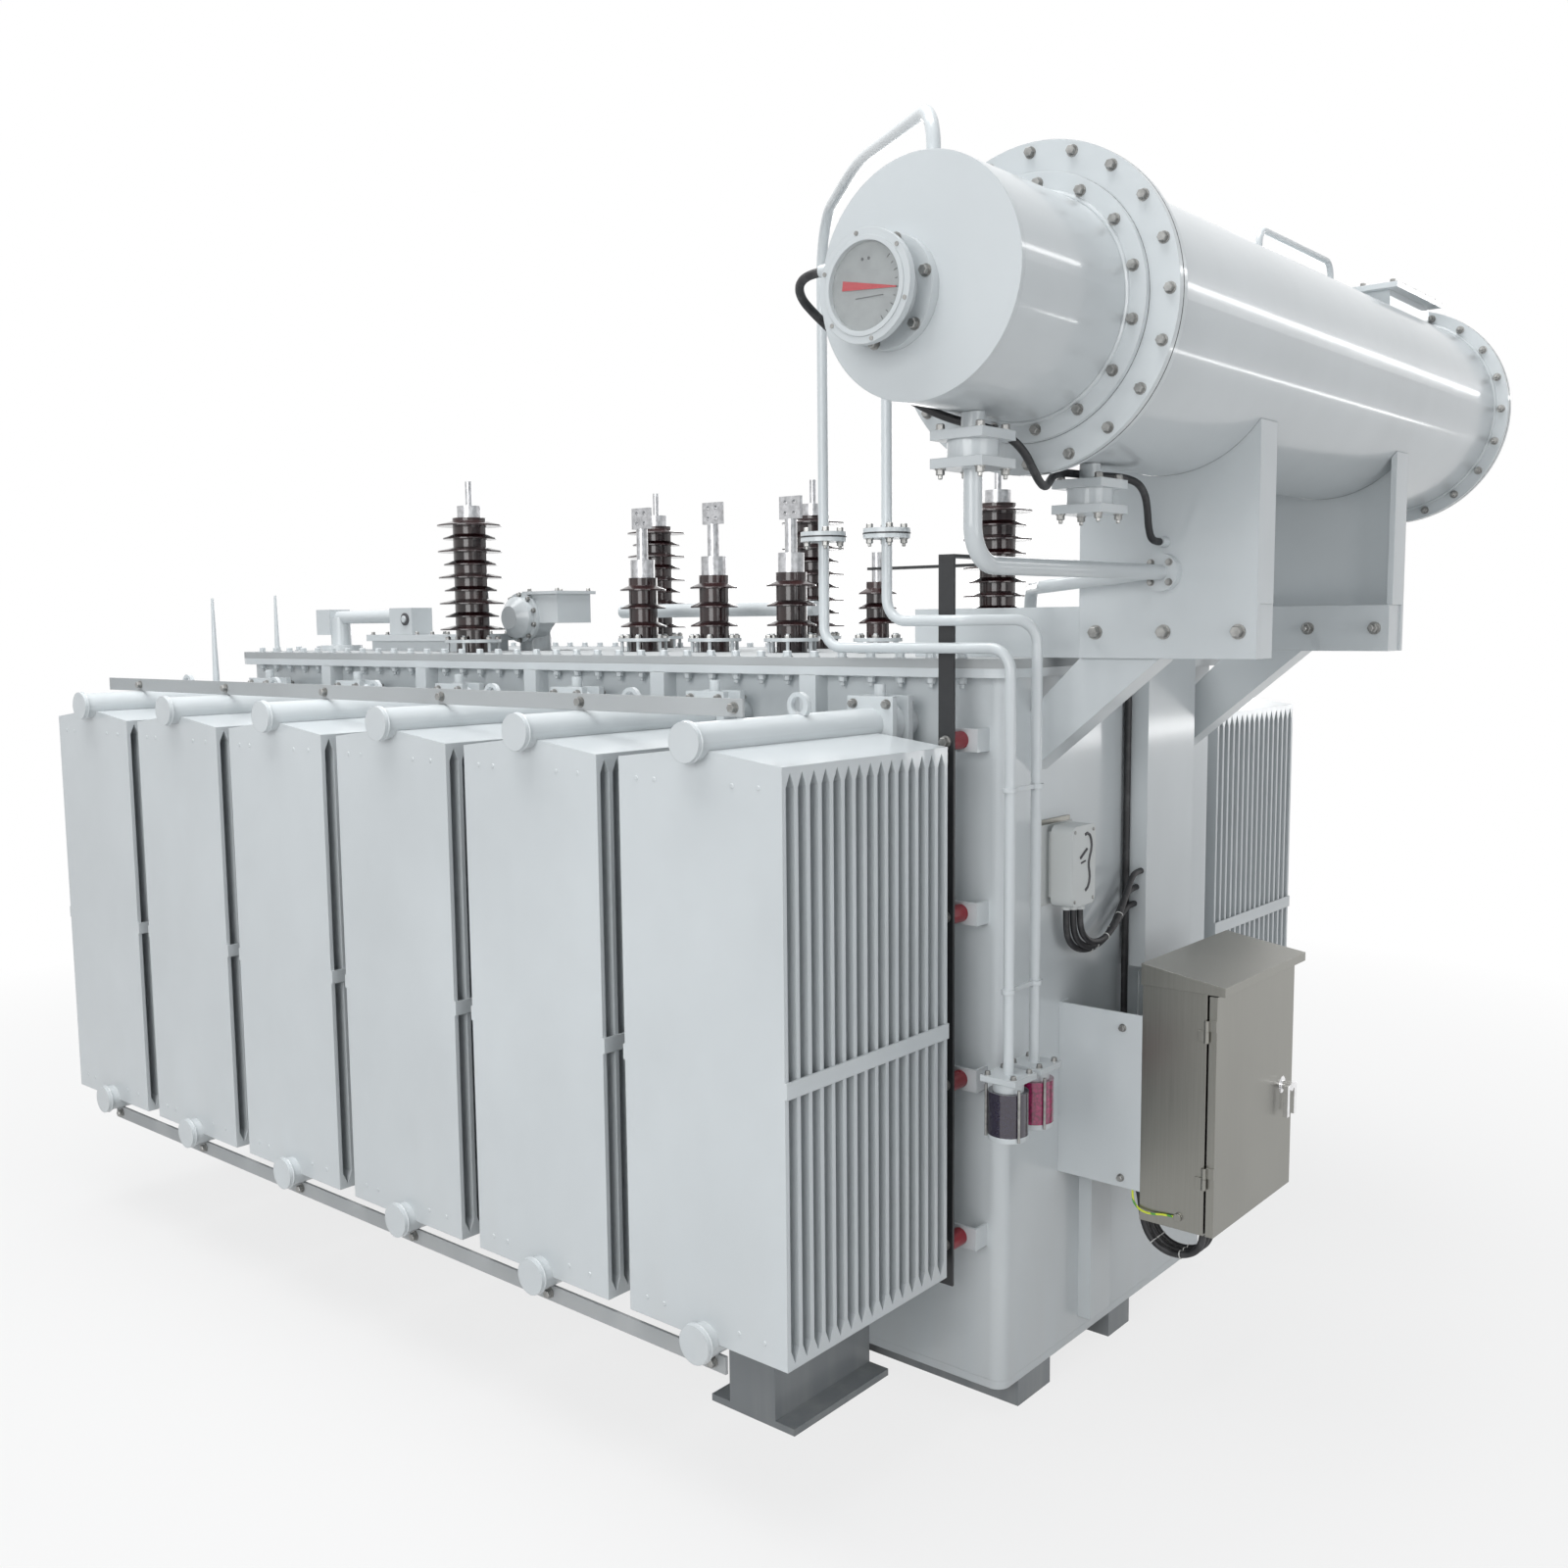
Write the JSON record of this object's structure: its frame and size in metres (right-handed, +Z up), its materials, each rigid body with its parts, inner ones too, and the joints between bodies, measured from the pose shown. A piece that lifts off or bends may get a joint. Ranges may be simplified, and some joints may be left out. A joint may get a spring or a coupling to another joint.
{
  "type": "power transformer",
  "caption": "Oil-filled power transformer on skids: finned radiator banks on both sides, shedded bushings on the cover, a raised conservator drum and a hinged control cabinet.",
  "frame": {"origin": "on the ground under the middle of the tank", "axes": "+Z up, +X along the tank to the conservator end, -Y to the bank with the oil gauge"},
  "size_m": [4.411, 3.187, 3.2546],
  "materials": {
    "tank_paint": "gloss",
    "base_paint": "satin",
    "porcelain": "glazed",
    "terminal_metal": "satin",
    "breather_glass": "clear",
    "stainless": "brushed",
    "handle_metal": "polished",
    "black_paint": "matte",
    "red_resin": "gloss",
    "cast_case": "satin",
    "cable_black": "matte",
    "earth_wire_sheath": "satin"
  },
  "bodies": {
    "transformer": {"bar_brackets": "tank_paint", "bar_insulators": "red_resin", "breather_cups": "breather_glass", "breather_heads": "tank_paint", "breather_pipe_front": "tank_paint", "breather_pipe_rear": "tank_paint", "bushing_bases": "tank_paint", "bushing_terminals": "terminal_metal", "cabinet_box": "stainless", "cabinet_brackets": "tank_paint", "cabinet_conduit_1": "cable_black", "cabinet_conduit_2": "cable_black", "cabinet_conduit_3": "cable_black", "column_conduit": "cable_black", "conservator_body": "tank_paint", "conservator_far_end": "tank_paint", "conservator_front_ring": "tank_paint", "conservator_grip": "tank_paint", "conservator_hatch": "tank_paint", "conservator_valves": "tank_paint", "cover_hatchway": "tank_paint", "cover_post": "tank_paint", "earth_bar": "black_paint", "earth_wire": "earth_wire_sheath", "end_column": "tank_paint", "gauge_cable": "cable_black", "hv_porcelain": "porcelain", "lifting_eyes": "tank_paint", "lv_porcelain": "porcelain", "oil_chamber": "tank_paint", "oil_chamber_end": "tank_paint", "oil_gauge": "tank_paint", "oil_manifold": "tank_paint", "oil_pipe": "tank_paint", "outriggers": "base_paint", "radiator_valves": "tank_paint", "radiators_back": "tank_paint", "radiators_front": "tank_paint", "relief_valve": "tank_paint", "skids": "base_paint", "support_arms": "tank_paint", "support_braces": "tank_paint", "support_saddles": "tank_paint", "tank_cover": "tank_paint", "tank_floor": "tank_paint", "tank_wall": "tank_paint", "tap_changer_gear": "tank_paint", "thermometer": "cast_case", "thermometer_cable_1": "cable_black", "thermometer_cable_2": "cable_black", "thermometer_cable_3": "cable_black", "tie_bars": "tank_paint", "wall_stiffeners": "tank_paint"},
    "door": {"cabinet_door": "stainless"},
    "handle": {"cabinet_handle": "handle_metal"}
  },
  "joints": [
    {"name": "cabinet_door_hinge", "type": "hinge", "parent": "transformer", "child": "door", "pos_m": [2.262, -0.349, 0.87], "axis": [0, 0, -1], "range_deg": [0, 110]},
    {"name": "handle_turn", "type": "hinge", "parent": "door", "child": "handle", "pos_m": [2.287, 0.11, 0.85], "axis": [1, 0, 0], "range_deg": [0, 90]}
  ]
}
